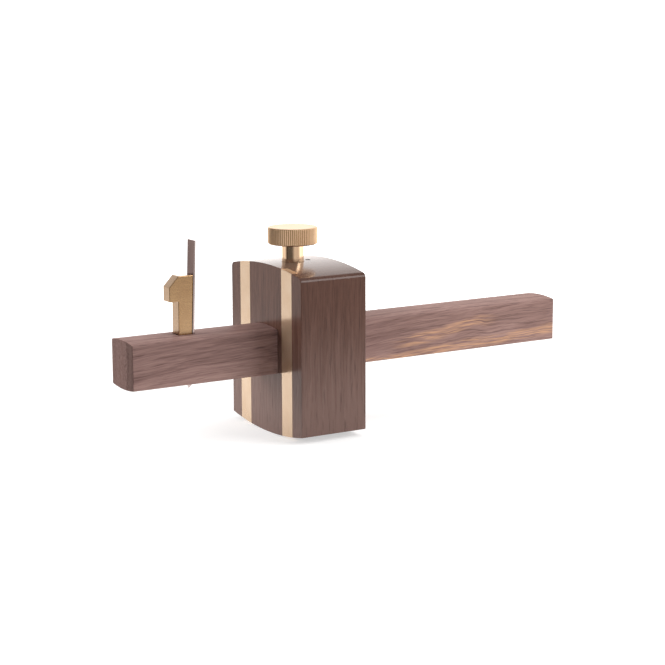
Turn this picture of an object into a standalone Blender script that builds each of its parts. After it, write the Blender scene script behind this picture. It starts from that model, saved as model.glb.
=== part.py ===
"""Cutting gauge: a hardwood stem slides through a hardwood stock and carries a knife held by a wedge.

A thumbscrew in the stock runs through a brass nut and presses a brass shoe on the stem to lock it.
Two brass strips let into the fence take the wear.

Metres, +Z up. X runs along the stem, from its knife end to its plain end, and Y across it.
The origin is below the middle of the stem, in the plane of symmetry, at the lowest line of the stock.
"""

import math

import bmesh
import bpy
from mathutils import Matrix, Vector

# Stem: flat sides, slightly crowned top and bottom
STEM_LENGTH = 0.2159
STEM_WIDTH = 0.0202
STEM_SIDE_HEIGHT = 0.0189
STEM_CROWN = 0.0009
STEM_EDGE_BEVEL = 0.0004

# Stock: flat sides, crowned top and bottom, fence on its knife side
STOCK_THICKNESS = 0.03175
STOCK_WIDTH = 0.0603
STOCK_SIDE_HEIGHT = 0.0672
STOCK_CROWN = 0.0030
STOCK_EDGE_BEVEL = 0.0010
FENCE_SETTING = 0.0674  # knife end of the stem to the fence

# Brass wear strips, let in flush with the fence
STRIP_WIDTH = 0.0086
STRIP_THICKNESS = 0.0032
STRIP_MARGIN = 0.00795  # side of the stock to the near edge of a strip

# Thumbscrew
SCREW_SETBACK = 0.0137  # fence to the axis of the screw
HEAD_DIAMETER = 0.0214
HEAD_HEIGHT = 0.0073
HEAD_CHAMFER = 0.0005
KNURL_TEETH = 76
KNURL_DEPTH = 0.00025
NECK_HEIGHT = 0.0076  # crown of the stock to the underside of the head
SHANK_DIAMETER = 0.0095
NOSE_DIAMETER = 0.0060
THREAD_PITCH = 0.0016
THREAD_DEPTH = 0.0009
THREAD_CREST = 0.0003
THREAD_FLANK = math.radians(27.5)  # a flank's lean from square to the axis
RELEASE_TURNS = 2  # turns from clamped to fully slack

# Nut let into the stock from the mortise, and the pin that keeps it from turning
NUT_WALL = 0.0010
NUT_BODY_LENGTH = 0.0080
NUT_FLANGE_THICKNESS = 0.0025
PIN_DIAMETER = 0.0020
PIN_WEB = 0.0004  # wood left between the nut's body and the pin's hole
PIN_SINK = 0.0016  # crown of the stock to the top of the pin

# Shoe between the screw and the stem
SHOE_THICKNESS = 0.0040
SHOE_SOCKET_DEPTH = 0.0018

# Knife and wedge, which share one mortise through the stem
KNIFE_WIDTH = 0.0060
KNIFE_THICKNESS = 0.0009
KNIFE_LENGTH = 0.0627
KNIFE_REACH = 0.0030  # point of the knife below the underside of the stem
KNIFE_LEAN = math.radians(2.0)  # towards the stock at the top
KNIFE_POINT = math.radians(100)  # angle between the two cutting edges
KNIFE_BEVEL = math.radians(30)  # angle that each edge is ground to
WEDGE_SETBACK = 0.0246  # knife end of the stem to the wedge
WEDGE_WAIST = 0.0056  # wedge along the stem, at the height of the stem's middle
WEDGE_RISE = 0.0247  # top of the stem to the top of the wedge
WEDGE_FOOT = 0.0020  # underside of the stem to the foot of the wedge
WEDGE_HEAD_HEIGHT = 0.0107
WEDGE_NOSE = 0.0040  # overhang of the head
WEDGE_CHAMFER_LENGTH = 0.0042
WEDGE_CHAMFER_HEIGHT = 0.0045
WEDGE_EDGE_BEVEL = 0.0003

# Fits
SLIDE_GAP = 0.0003  # round pieces that move
INLAY_GAP = 0.0001  # round pieces that are pressed or glued in
THREAD_GAP = 0.0003  # square to the screw's axis
THREAD_BACKLASH = 0.0001  # along the screw's axis, on each flank

# Fineness of curves
ARC_SEGMENTS = 21  # odd, so that a level facet lies under the middle of the stock
ROUND_SEGMENTS = 40
THREAD_SEGMENTS = 24
BEVEL_SEGMENTS = 3
CUT_MARGIN = 0.0050  # how far a cutter runs past the face it cuts
WELD = 1e-6
CURVE_LIMIT = math.radians(30)  # edges sharper than this are eased

# Places worked out from the sizes
FENCE_X = FENCE_SETTING - STEM_LENGTH / 2
STOCK_X = FENCE_X + STOCK_THICKNESS / 2
SCREW_X = FENCE_X + SCREW_SETBACK
STOCK_TOP = STOCK_SIDE_HEIGHT + 2 * STOCK_CROWN
STRIP_Y = STOCK_WIDTH / 2 - STRIP_MARGIN - STRIP_WIDTH / 2
STEM_Z = STOCK_TOP / 2
STEM_HALF_HEIGHT = STEM_SIDE_HEIGHT / 2 + STEM_CROWN
STEM_TOP = STEM_Z + STEM_HALF_HEIGHT
STEM_BOTTOM = STEM_Z - STEM_HALF_HEIGHT
RELEASE_TRAVEL = RELEASE_TURNS * THREAD_PITCH
SHOE_TOP = STEM_TOP + SLIDE_GAP + SHOE_THICKNESS
NUT_BOTTOM = SHOE_TOP + RELEASE_TRAVEL + SLIDE_GAP
FLANGE_TOP = NUT_BOTTOM + NUT_FLANGE_THICKNESS
NUT_TOP = FLANGE_TOP + NUT_BODY_LENGTH
HEAD_BOTTOM = STOCK_TOP + NECK_HEIGHT
MAJOR_RADIUS = SHANK_DIAMETER / 2
MINOR_RADIUS = MAJOR_RADIUS - THREAD_DEPTH
NUT_RADIUS = MAJOR_RADIUS + THREAD_GAP + NUT_WALL
PIN_OFFSET = NUT_RADIUS + PIN_WEB + PIN_DIAMETER / 2
FLANGE_RADIUS = PIN_OFFSET + PIN_DIAMETER / 2 + NUT_WALL
POCKET_RADIUS = FLANGE_RADIUS + INLAY_GAP
WEDGE_X = WEDGE_SETBACK - STEM_LENGTH / 2
KNIFE_X = WEDGE_X + WEDGE_WAIST + SLIDE_GAP + KNIFE_THICKNESS / 2
LEAN_SLOPE = math.tan(KNIFE_LEAN)

# Frames that turn an outline's own x, y and depth into X, Y and Z
ACROSS_STEM = Matrix(((0, 0, 1), (1, 0, 0), (0, 1, 0))).to_4x4()
ALONG_STEM = Matrix(((1, 0, 0), (0, 0, -1), (0, 1, 0))).to_4x4()


def clear_scene():
    for old in list(bpy.data.objects):
        bpy.data.objects.remove(old)


def new_collection(name):
    made = bpy.data.collections.new(name)
    bpy.context.scene.collection.children.link(made)
    return made


def new_material(name, colour, roughness, metallic):
    made = bpy.data.materials.new(name)
    made.use_nodes = True
    shader = made.node_tree.nodes["Principled BSDF"]
    shader.inputs["Base Color"].default_value = (*colour, 1)
    shader.inputs["Roughness"].default_value = roughness
    shader.inputs["Metallic"].default_value = metallic
    return made


def new_object(name, data, location=(0, 0, 0)):
    made = bpy.data.objects.new(name, data)
    made.location = location
    PARTS.objects.link(made)
    return made


def mesh_from(bm, name):
    bmesh.ops.recalc_face_normals(bm, faces=bm.faces)
    mesh = bpy.data.meshes.new(name)
    bm.to_mesh(mesh)
    bm.free()
    return mesh


def realise(source):
    """The evaluated shape of an object as one welded mesh, with flat regions as single faces. It removes the object."""
    graph = bpy.context.evaluated_depsgraph_get()
    mesh = bpy.data.meshes.new_from_object(source.evaluated_get(graph))
    name = source.name
    bpy.data.objects.remove(source)
    bm = bmesh.new()
    bm.from_mesh(mesh)
    bmesh.ops.remove_doubles(bm, verts=bm.verts, dist=WELD)
    flat = math.radians(0.01)
    bmesh.ops.dissolve_limit(bm, angle_limit=flat, verts=bm.verts, edges=bm.edges)
    return mesh_from(bm, name)


def prism(name, outline, depth, frame):
    """A flat outline given an even depth, half to each side of its plane."""
    curve = bpy.data.curves.new(name, "CURVE")
    curve.dimensions = "2D"
    curve.fill_mode = "BOTH"
    curve.extrude = depth / 2
    spline = curve.splines.new("POLY")
    spline.points.add(len(outline) - 1)
    for point, (x, y) in zip(spline.points, outline):
        point.co = (x, y, 0, 1)
    spline.use_cyclic_u = True
    mesh = realise(new_object(name, curve))
    mesh.transform(frame)
    return mesh


def turned(name, profile, segments):
    """A profile of (radius, height) points, read down its outer side, turned about Z."""
    mesh = bpy.data.meshes.new(name)
    points = [(radius, 0, height) for radius, height in profile]
    mesh.from_pydata(points, [(i, i + 1) for i in range(len(points) - 1)], [])
    shape = new_object(name, mesh)
    screw = shape.modifiers.new("Turn", "SCREW")
    screw.steps = screw.render_steps = segments
    screw.use_merge_vertices = True
    screw.merge_threshold = WELD
    return realise(shape)


def rod(name, radius, bottom, top, segments=ROUND_SEGMENTS):
    """A plain cylinder about Z."""
    bm = bmesh.new()
    middle = Matrix.Translation((0, 0, (bottom + top) / 2))
    bmesh.ops.create_cone(
        bm, cap_ends=True, segments=segments, radius1=radius, radius2=radius, depth=top - bottom, matrix=middle
    )
    return mesh_from(bm, name)


def box(name, size, centre):
    bm = bmesh.new()
    bmesh.ops.create_cube(bm, size=1, matrix=Matrix.Translation(centre) @ Matrix.Diagonal((*size, 1)))
    return mesh_from(bm, name)


def thread(name, inner, outer, inner_half, outer_half, bottom, top):
    """A right-hand helical ridge about Z: a four-sided tooth swept between two heights."""
    bm = bmesh.new()
    corners = ((inner, -inner_half), (outer, -outer_half), (outer, outer_half), (inner, inner_half))
    tooth = bm.faces.new([bm.verts.new((radius, 0, bottom + height)) for radius, height in corners])
    steps = round((top - bottom) / THREAD_PITCH * THREAD_SEGMENTS)
    bmesh.ops.spin(
        bm,
        geom=[*tooth.verts, *tooth.edges, tooth],
        axis=(0, 0, 1),
        dvec=(0, 0, THREAD_PITCH / THREAD_SEGMENTS),
        angle=math.tau * steps / THREAD_SEGMENTS,
        steps=steps,
    )
    # The phase depends on the height alone, so a screw and a nut cut from any height run in step.
    turn = math.tau * bottom / THREAD_PITCH
    bmesh.ops.rotate(bm, verts=bm.verts, cent=(0, 0, 0), matrix=Matrix.Rotation(turn, 3, "Z"))
    return mesh_from(bm, name)


def combine(target, mesh, operation, location):
    """Cuts, joins or intersects the target with a helper kept in the cutters' collection."""
    helper = new_object(mesh.name, mesh, location)
    PARTS.objects.unlink(helper)
    CUTTERS.objects.link(helper)
    helper.hide_render = True
    helper.display_type = "WIRE"
    boolean = target.modifiers.new(mesh.name, "BOOLEAN")
    boolean.operation = operation
    boolean.object = helper
    boolean.solver = "EXACT"


def ease_edges(target, width):
    bevel = target.modifiers.new("Eased edges", "BEVEL")
    bevel.width = width
    bevel.segments = BEVEL_SEGMENTS
    bevel.limit_method = "ANGLE"
    bevel.angle_limit = CURVE_LIMIT


def finish(part, material, parent=None):
    """Gives a piece its material, smooth shading between its sharp edges, and its parent."""
    part.data.materials.append(material)
    part.data.shade_smooth()
    part.data.set_sharp_from_angle(angle=CURVE_LIMIT)
    if parent:
        bpy.context.view_layer.update()
        part.parent = parent
        part.matrix_parent_inverse = parent.matrix_world.inverted()


def crowned_outline(width, side_height, crown):
    """Two flat upright sides joined by arcs that rise by crown at the top and the bottom."""
    half = width / 2
    radius = (half**2 + crown**2) / (2 * crown)
    sweep = math.asin(half / radius)
    angles = [sweep * (1 - 2 * i / ARC_SEGMENTS) for i in range(ARC_SEGMENTS + 1)]
    centre = side_height / 2 + crown - radius
    top = [(radius * math.sin(a), centre + radius * math.cos(a)) for a in angles]
    return top + [(-x, -y) for x, y in top]


def stem_section(clearance):
    width = STEM_WIDTH + 2 * clearance
    return crowned_outline(width, STEM_SIDE_HEIGHT + 2 * clearance, STEM_CROWN)


def stock_block(name):
    """The outside of the stock, before anything is cut into it. The wear strips' ends follow it too."""
    outline = crowned_outline(STOCK_WIDTH, STOCK_SIDE_HEIGHT, STOCK_CROWN)
    block = new_object(name, prism(name, outline, STOCK_THICKNESS, ACROSS_STEM))
    ease_edges(block, STOCK_EDGE_BEVEL)
    return realise(block)


def strip_bar(name, gap):
    """A bar along the fence, open past its face and both ends, as far in as a strip is thick."""
    depth = STRIP_THICKNESS + gap + CUT_MARGIN
    size = (depth, STRIP_WIDTH + 2 * gap, STOCK_TOP + 2 * CUT_MARGIN)
    return box(name, size, (-STOCK_THICKNESS / 2 + STRIP_THICKNESS + gap - depth / 2, 0, 0))


def make_stock(material):
    stock = new_object("stock", stock_block("stock"), (STOCK_X, 0, STEM_Z))
    through = STOCK_THICKNESS + 2 * CUT_MARGIN
    mortise = prism("stock_mortise", stem_section(SLIDE_GAP), through, ACROSS_STEM)
    combine(stock, mortise, "DIFFERENCE", stock.location)
    for side in (-1, 1):
        groove = strip_bar("strip_groove", INLAY_GAP)
        combine(stock, groove, "DIFFERENCE", stock.location + Vector((0, side * STRIP_Y, 0)))
    shank_hole = MAJOR_RADIUS + SLIDE_GAP
    bores = [
        (shank_hole, STOCK_TOP + CUT_MARGIN),
        (shank_hole, NUT_TOP + INLAY_GAP),
        (NUT_RADIUS + INLAY_GAP, NUT_TOP + INLAY_GAP),
        (NUT_RADIUS + INLAY_GAP, FLANGE_TOP + INLAY_GAP),
        (POCKET_RADIUS, FLANGE_TOP + INLAY_GAP),
        (POCKET_RADIUS, STEM_Z),
    ]
    closed = [(0, bores[0][1]), *bores, (0, bores[-1][1])]
    combine(stock, turned("screw_bore", closed, ROUND_SEGMENTS), "DIFFERENCE", (SCREW_X, 0, 0))
    pin_hole = rod("pin_hole", PIN_DIAMETER / 2 + INLAY_GAP, FLANGE_TOP - CUT_MARGIN / 2, STOCK_TOP + CUT_MARGIN)
    combine(stock, pin_hole, "DIFFERENCE", (SCREW_X + PIN_OFFSET, 0, 0))
    finish(stock, material)
    return stock


def make_strips(material, stock):
    for name, side in (("front_wear_strip", -1), ("rear_wear_strip", 1)):
        place = stock.location + Vector((0, side * STRIP_Y, 0))
        strip = new_object(name, strip_bar(name, 0), place)
        combine(strip, stock_block(name + "_ends"), "INTERSECT", stock.location)
        finish(strip, material, stock)


def make_nut(brass, steel, stock):
    flange = [(FLANGE_RADIUS, FLANGE_TOP), (FLANGE_RADIUS, NUT_BOTTOM)]
    profile = [(0, NUT_TOP), (NUT_RADIUS, NUT_TOP), (NUT_RADIUS, FLANGE_TOP), *flange, (0, NUT_BOTTOM)]
    nut = new_object("clamp_nut", turned("clamp_nut", profile, ROUND_SEGMENTS), (SCREW_X, 0, 0))
    low = NUT_BOTTOM - CUT_MARGIN / 2
    high = NUT_TOP + CUT_MARGIN / 2
    bore = MINOR_RADIUS + THREAD_GAP
    combine(nut, rod("nut_bore", bore, low, high, THREAD_SEGMENTS), "DIFFERENCE", nut.location)
    half = THREAD_CREST / 2 + THREAD_BACKLASH
    flank = (THREAD_DEPTH + SLIDE_GAP) * math.tan(THREAD_FLANK)
    tap = thread("nut_thread", bore - SLIDE_GAP, MAJOR_RADIUS + THREAD_GAP, half + flank, half, low, high)
    combine(nut, tap, "DIFFERENCE", nut.location)
    hole = rod("nut_pin_hole", PIN_DIAMETER / 2 + INLAY_GAP, low, high, THREAD_SEGMENTS)
    combine(nut, hole, "DIFFERENCE", nut.location + Vector((PIN_OFFSET, 0, 0)))
    finish(nut, brass, stock)
    pin_bottom = NUT_BOTTOM + SLIDE_GAP
    pin_top = STOCK_TOP - PIN_SINK
    pin_shape = rod("nut_pin", PIN_DIAMETER / 2, pin_bottom, pin_top, THREAD_SEGMENTS)
    finish(new_object("nut_pin", pin_shape, (SCREW_X + PIN_OFFSET, 0, 0)), steel, stock)


def make_shoe(material, stock):
    radius = POCKET_RADIUS - SLIDE_GAP
    shoe = new_object("clamp_shoe", rod("clamp_shoe", radius, STEM_Z, SHOE_TOP), (SCREW_X, 0, 0))
    saddle = prism("shoe_saddle", stem_section(SLIDE_GAP), 2 * radius + 2 * CUT_MARGIN, ACROSS_STEM)
    combine(shoe, saddle, "DIFFERENCE", (SCREW_X, 0, STEM_Z))
    socket_radius = NOSE_DIAMETER / 2 + SLIDE_GAP
    socket = rod("shoe_socket", socket_radius, SHOE_TOP - SHOE_SOCKET_DEPTH, SHOE_TOP + CUT_MARGIN)
    combine(shoe, socket, "DIFFERENCE", shoe.location)
    finish(shoe, material, stock)
    return shoe


def knurled_head():
    """The head of the thumbscrew, with straight teeth round its rim and a chamfer above and below them."""
    rim = HEAD_DIAMETER / 2
    top = HEAD_BOTTOM + HEAD_HEIGHT
    face = rim - HEAD_CHAMFER
    profile = [(0, top), (face, top), (rim, top - HEAD_CHAMFER), (rim, HEAD_BOTTOM + HEAD_CHAMFER)]
    profile += [(face, HEAD_BOTTOM), (0, HEAD_BOTTOM)]
    mesh = turned("thumbscrew", profile, 2 * KNURL_TEETH)
    for vertex in mesh.vertices:
        radius = vertex.co.xy.length
        step = round(math.atan2(vertex.co.y, vertex.co.x) / math.tau * 2 * KNURL_TEETH)
        if radius > (rim + face) / 2 and step % 2:
            vertex.co.xy *= (rim - KNURL_DEPTH) / rim
    return mesh


def make_thumbscrew(material, shoe):
    screw = new_object("thumbscrew", knurled_head(), (SCREW_X, 0, 0))
    thread_low = SHOE_TOP + SLIDE_GAP
    thread_high = NUT_TOP + THREAD_PITCH
    nose_end = SHOE_TOP - SHOE_SOCKET_DEPTH + SLIDE_GAP
    shank = [
        (0, HEAD_BOTTOM + HEAD_HEIGHT / 2),
        (MAJOR_RADIUS, HEAD_BOTTOM + HEAD_HEIGHT / 2),
        (MAJOR_RADIUS, thread_high),
        (MINOR_RADIUS, thread_high - THREAD_DEPTH),
        (MINOR_RADIUS, thread_low),
        (NOSE_DIAMETER / 2, thread_low),
        (NOSE_DIAMETER / 2, nose_end),
        (0, nose_end),
    ]
    combine(screw, turned("screw_shank", shank, ROUND_SEGMENTS), "UNION", screw.location)
    half = THREAD_CREST / 2
    flank = (THREAD_DEPTH + SLIDE_GAP) * math.tan(THREAD_FLANK)
    low = thread_low + half + flank
    ridge = thread("screw_thread", MINOR_RADIUS - SLIDE_GAP, MAJOR_RADIUS, half + flank, half, low, thread_high)
    combine(screw, ridge, "UNION", screw.location)
    finish(screw, material, shoe)


def lean_x(x, height):
    """How far along the stem a leaning face is, at a height above the middle of the stem."""
    return x + height * LEAN_SLOPE


def make_stem(material):
    blank = new_object("stem", prism("stem", stem_section(0), STEM_LENGTH, ACROSS_STEM))
    ease_edges(blank, STEM_EDGE_BEVEL)
    stem = new_object("stem", realise(blank), (0, 0, STEM_Z))
    reach = STEM_HALF_HEIGHT + CUT_MARGIN
    back = WEDGE_X - SLIDE_GAP
    front = KNIFE_X + KNIFE_THICKNESS / 2 + SLIDE_GAP
    outline = [(back, -reach), (lean_x(front, -reach), -reach), (lean_x(front, reach), reach), (back, reach)]
    slot = prism("knife_mortise", outline, KNIFE_WIDTH + 2 * SLIDE_GAP, ALONG_STEM)
    combine(stem, slot, "DIFFERENCE", stem.location)
    finish(stem, material)
    return stem


def make_wedge(material, stem):
    foot = -STEM_HALF_HEIGHT + WEDGE_FOOT
    top = STEM_HALF_HEIGHT + WEDGE_RISE
    head = top - WEDGE_HEAD_HEIGHT
    outline = [
        (0, foot),
        (lean_x(WEDGE_WAIST, foot), foot),
        (lean_x(WEDGE_WAIST, top), top),
        (WEDGE_CHAMFER_LENGTH - WEDGE_NOSE, top),
        (-WEDGE_NOSE, top - WEDGE_CHAMFER_HEIGHT),
        (-WEDGE_NOSE, head),
        (0, head),
    ]
    wedge = new_object("wedge", prism("wedge", outline, KNIFE_WIDTH, ALONG_STEM), (WEDGE_X, 0, STEM_Z))
    ease_edges(wedge, WEDGE_EDGE_BEVEL)
    finish(wedge, material, stem)


def make_knife(material, stem):
    """A flat strip with a spear point, ground on the face towards the stock."""
    half = KNIFE_WIDTH / 2
    shoulder = half / math.tan(KNIFE_POINT / 2)
    point = -STEM_HALF_HEIGHT - KNIFE_REACH
    top = point + KNIFE_LENGTH
    outline = [(0, point), (half, point + shoulder), (half, top), (-half, top), (-half, point + shoulder)]
    mesh = prism("knife", outline, KNIFE_THICKNESS, ACROSS_STEM)
    bm = bmesh.new()
    bm.from_mesh(mesh)
    for side in (-1, 1):
        # An edge runs up and out from the point, and its bevel leans back from the far face.
        outwards = Vector((0, side * math.cos(KNIFE_POINT / 2), -math.sin(KNIFE_POINT / 2)))
        normal = outwards * math.cos(KNIFE_BEVEL) + Vector((math.sin(KNIFE_BEVEL), 0, 0))
        kept_edge = Vector((-KNIFE_THICKNESS / 2 + KNIFE_THICKNESS / ARC_SEGMENTS, 0, point))
        faces = [*bm.verts, *bm.edges, *bm.faces]
        bmesh.ops.bisect_plane(bm, geom=faces, plane_co=kept_edge, plane_no=normal, clear_outer=True)
        bmesh.ops.holes_fill(bm, edges=[edge for edge in bm.edges if edge.is_boundary])
    knife = new_object("knife", mesh_from(bm, "knife"), (KNIFE_X, 0, STEM_Z))
    knife.rotation_euler = (0, KNIFE_LEAN, 0)
    finish(knife, material, stem)


clear_scene()
PARTS = new_collection("cutting_gauge")
CUTTERS = new_collection("cutting_gauge_cutters")
STOCK_WOOD = new_material("stock_rosewood", (0.090, 0.056, 0.047), 0.28, 0.0)
STEM_WOOD = new_material("stem_rosewood", (0.190, 0.105, 0.085), 0.35, 0.0)
BRASS = new_material("brass", (0.780, 0.570, 0.300), 0.25, 1.0)
STEEL = new_material("blade_steel", (0.420, 0.390, 0.380), 0.35, 1.0)

gauge_stock = make_stock(STOCK_WOOD)
make_strips(BRASS, gauge_stock)
make_nut(BRASS, STEEL, gauge_stock)
make_thumbscrew(BRASS, make_shoe(BRASS, gauge_stock))
gauge_stem = make_stem(STEM_WOOD)
make_wedge(BRASS, gauge_stem)
make_knife(STEEL, gauge_stem)
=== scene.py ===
import math

import bmesh
import bpy
from mathutils import Matrix, Vector


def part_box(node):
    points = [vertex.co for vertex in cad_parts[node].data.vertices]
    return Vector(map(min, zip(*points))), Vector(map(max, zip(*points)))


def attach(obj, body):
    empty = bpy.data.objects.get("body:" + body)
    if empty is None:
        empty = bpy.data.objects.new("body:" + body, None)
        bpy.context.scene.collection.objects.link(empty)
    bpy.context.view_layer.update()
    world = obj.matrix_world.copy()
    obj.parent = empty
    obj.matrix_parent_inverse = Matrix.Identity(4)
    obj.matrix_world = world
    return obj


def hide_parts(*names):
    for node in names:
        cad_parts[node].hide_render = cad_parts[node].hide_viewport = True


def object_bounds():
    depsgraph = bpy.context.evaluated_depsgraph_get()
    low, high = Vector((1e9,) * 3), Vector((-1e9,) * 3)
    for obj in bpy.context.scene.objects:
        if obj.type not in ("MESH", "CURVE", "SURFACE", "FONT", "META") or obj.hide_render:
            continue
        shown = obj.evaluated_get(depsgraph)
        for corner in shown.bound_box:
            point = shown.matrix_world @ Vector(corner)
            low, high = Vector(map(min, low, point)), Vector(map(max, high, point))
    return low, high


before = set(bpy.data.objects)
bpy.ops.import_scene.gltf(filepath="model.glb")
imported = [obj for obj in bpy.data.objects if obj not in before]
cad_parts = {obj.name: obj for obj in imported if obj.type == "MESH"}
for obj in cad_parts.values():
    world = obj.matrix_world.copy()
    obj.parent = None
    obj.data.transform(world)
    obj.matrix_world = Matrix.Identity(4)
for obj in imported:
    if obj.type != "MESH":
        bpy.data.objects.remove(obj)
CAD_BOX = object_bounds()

MM = 0.001

# Places and sizes that the frame gives
STOCK_LOW, STOCK_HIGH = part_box("stock")
STEM_LOW, STEM_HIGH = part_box("stem")
SCREW_LOW, SCREW_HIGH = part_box("thumbscrew")
WEDGE_LOW, WEDGE_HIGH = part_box("wedge")
KNIFE_LOW, KNIFE_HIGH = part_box("knife")
STRIP_LOW, STRIP_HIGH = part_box("rear_wear_strip")
NUT_LOW, NUT_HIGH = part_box("clamp_nut")
_, SHOE_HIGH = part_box("clamp_shoe")
PIN_LOW, PIN_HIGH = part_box("nut_pin")
STOCK_SIZE = STOCK_HIGH - STOCK_LOW
STEM_SIZE = STEM_HIGH - STEM_LOW
WEDGE_WIDTH = WEDGE_HIGH.y - WEDGE_LOW.y
STEM_Z = (STEM_LOW.z + STEM_HIGH.z) / 2
STOCK_X = (STOCK_LOW.x + STOCK_HIGH.x) / 2
STRIP_Y = (STRIP_LOW.y + STRIP_HIGH.y) / 2
SCREW_X = (SCREW_LOW.x + SCREW_HIGH.x) / 2
PIN_X = (PIN_LOW.x + PIN_HIGH.x) / 2
FRONT, REAR = -1, 1  # along Y, towards the photograph's viewer and away

# Wooden shapes
STOCK_CROWN = 3.0 * MM
STOCK_FILLET = 2.2 * MM
STOCK_FOOT = 0.4 * MM
BACK_EDGE = 0.4 * MM
FENCE_EDGE = 0.25 * MM
STEM_CROWN = 0.9 * MM
STEM_FILLET = 0.6 * MM
STEM_EDGE = 0.4 * MM
MOUTH_CHAMFER = 0.15 * MM
PIN_CHAMFER = 0.1 * MM
SLIDE_GAP = 0.3 * MM
INLAY_GAP = 0.1 * MM
END_LIMIT = 0.9  # a face this square to the grain is end grain

# Thumbscrew
HEAD_RADIUS = (SCREW_HIGH.x - SCREW_LOW.x) / 2
HEAD_HEIGHT = 7.3 * MM
HEAD_CHAMFER = 0.5 * MM
RIM_CHAMFER = 0.35 * MM
KNURL_TEETH = 76
KNURL_DEPTH = 0.25 * MM
SHANK_RADIUS = 4.75 * MM
NECK_FILLET = 0.6 * MM
NOSE_RADIUS = 3.0 * MM
THREAD_PITCH = 1.6 * MM
THREAD_DEPTH = 0.9 * MM
THREAD_CREST = 0.3 * MM
THREAD_FLANK = math.radians(27.5)

# Wedge and knife
WEDGE_WAIST = 5.6 * MM
WEDGE_HEAD = 10.7 * MM
WEDGE_NOSE = 4.0 * MM
WEDGE_CHAMFER_LENGTH = 4.2 * MM
WEDGE_CHAMFER_HEIGHT = 4.5 * MM
WEDGE_EDGE = 0.35 * MM
WEDGE_FIT = 0.2 * MM  # taken from the CAD's gap between the wedge and the knife
KNIFE_THICKNESS = 0.9 * MM
KNIFE_LENGTH = 62.7 * MM
KNIFE_LEAN = math.radians(2.0)
KNIFE_POINT = math.radians(100)
KNIFE_BEVEL = math.radians(30)
KNIFE_LAND = 0.05 * MM
KNIFE_EDGE = 0.08 * MM

# Fineness of the meshes
CROWN_STEPS = 64
FILLET_STEPS = 8
ROUND_STEPS = 96
PIN_STEPS = 48
TOOTH_STEPS = 8
CHAMFER_STEPS = 6
EDGE_STEPS = 4
THREAD_STEPS = 48
FLOOR_STEPS = 64
MARGIN = 5.0 * MM  # how far a cutter reaches past what it cuts
WELD = 0.002 * MM
AXIS_WELD = 0.0001 * MM
SHARP = math.radians(35)

# Holes in the stock for the screw, the nut and the pin
NUT_BODY_RADIUS = 6.05 * MM
NUT_FLANGE = 2.5 * MM
NUT_SHELF = NUT_LOW.z + NUT_FLANGE + INLAY_GAP
PIN_HOLE = (PIN_HIGH.x - PIN_LOW.x) / 2 + INLAY_GAP
PIN_MOUTH = PIN_HOLE + PIN_CHAMFER
CUT_TOP = STOCK_HIGH.z + MARGIN

# Frames that turn an outline's own x, y and depth into X, Y and Z
ACROSS_STEM = Matrix(((0, 0, 1), (1, 0, 0), (0, 1, 0))).to_4x4()
ALONG_STEM = Matrix(((1, 0, 0), (0, 0, -1), (0, 1, 0))).to_4x4()

# Noise: its middle, and the values that most of it lies between
NOISE_MIDDLE = (0.5, 0.5, 0.5)
NOISE_SPREAD = (0.3, 0.7)

# Rosewood's grain. Rates are per millimetre, along the grain, across it and up, and reaches in millimetres
SWAY_RATES = (0.011, 0.045, 0.045)
SWAY_REACH = (0, 9, 9)
RING_RATE = 0.42
FIBRE_RATES = (0.028, 0.85, 0.85)
FINE_RATES = (0.07, 2.6, 2.6)
PORE_RATES = (0.11, 2.4, 2.4)
PORE_SPAN = (0.60, 0.74)
RING_SHARE = 0.32
FIBRE_SHARE = 0.33
FINE_SHARE = 0.35
PORE_SHARE = 0.40
END_GRAIN_SPAN = (0.5, 0.9)
END_SHADE = 0.5
WOOD_ROUGHNESS = (0.36, 0.52)
FINE_HEIGHT = 0.4
PORE_DEPTH = 0.1 * MM
WOOD_RELIEF = 0.25

# The stock's wood, with places in millimetres. A grain lists the axes, along it first, and a polish is its
# weight, roughness and IOR
STOCK_GRAIN = "ZXY"
STOCK_PITH = (5, 95)
STOCK_TONES = [(0.25, (0.058, 0.027, 0.019)), (0.50, (0.099, 0.047, 0.034)), (0.75, (0.145, 0.071, 0.052))]
STOCK_PORES = (0.020, 0.011, 0.009)
STOCK_POLISH = (1.0, 0.20, 1.31)
STOCK_END_SHADE = 0.1
# Painted shade: near-black wood for the walls of the pin's hole
SHADED_HOLE_TONES = [(0.25, (0.006, 0.004, 0.003)), (0.75, (0.012, 0.007, 0.005))]
SHADED_HOLE_PORES = (0.004, 0.003, 0.002)
HOLE_POLISH = (0.0, 0.4, 1.5)
# Painted light from the table below: the stock's wood turns paler towards its foot
BOUNCE_COLOUR = (0.295, 0.196, 0.172)
BOUNCE_SPAN = (4, 58)
BOUNCE_SHARE = 0.40
BOUNCE_WAVER = 8

# The stem's wood, with places in millimetres
STEM_GRAIN = "XYZ"
STEM_PITH = (75, 42)
STEM_TONES = [(0.34, (0.160, 0.093, 0.083)), (0.50, (0.282, 0.174, 0.156)), (0.66, (0.398, 0.258, 0.226))]
STEM_PORES = (0.040, 0.021, 0.017)
STEM_POLISH = (0.12, 0.3, 1.5)
STEM_CLIMB = 0.06
# Painted shade: the stem's end grain darkens towards its front side
PAINTED_END_SHADE_SPAN = (-6, -2)
PAINTED_END_SHADE_SHARE = 0.42
PAINTED_END_SHADE_WAVER = 2
# Partly the wood's own tone and partly painted light: the stem grows paler towards its right-hand end
PALE_AND_LIT_COLOUR = (0.52, 0.33, 0.28)
PALE_AND_LIT_SPAN = (-10, 50)
PALE_AND_LIT_SHARE = 0.20
WANDER_RATES = (0.03, 0, 0.08)
WANDER_REACH = 6.0
SMOKE_COLOUR = (0.150, 0.092, 0.085)
SMOKE_RATES = (0.05, 1, 1.2)
SMOKE_SPAN = (0.50, 0.62)
SMOKE_SHARE = 0.60

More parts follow.
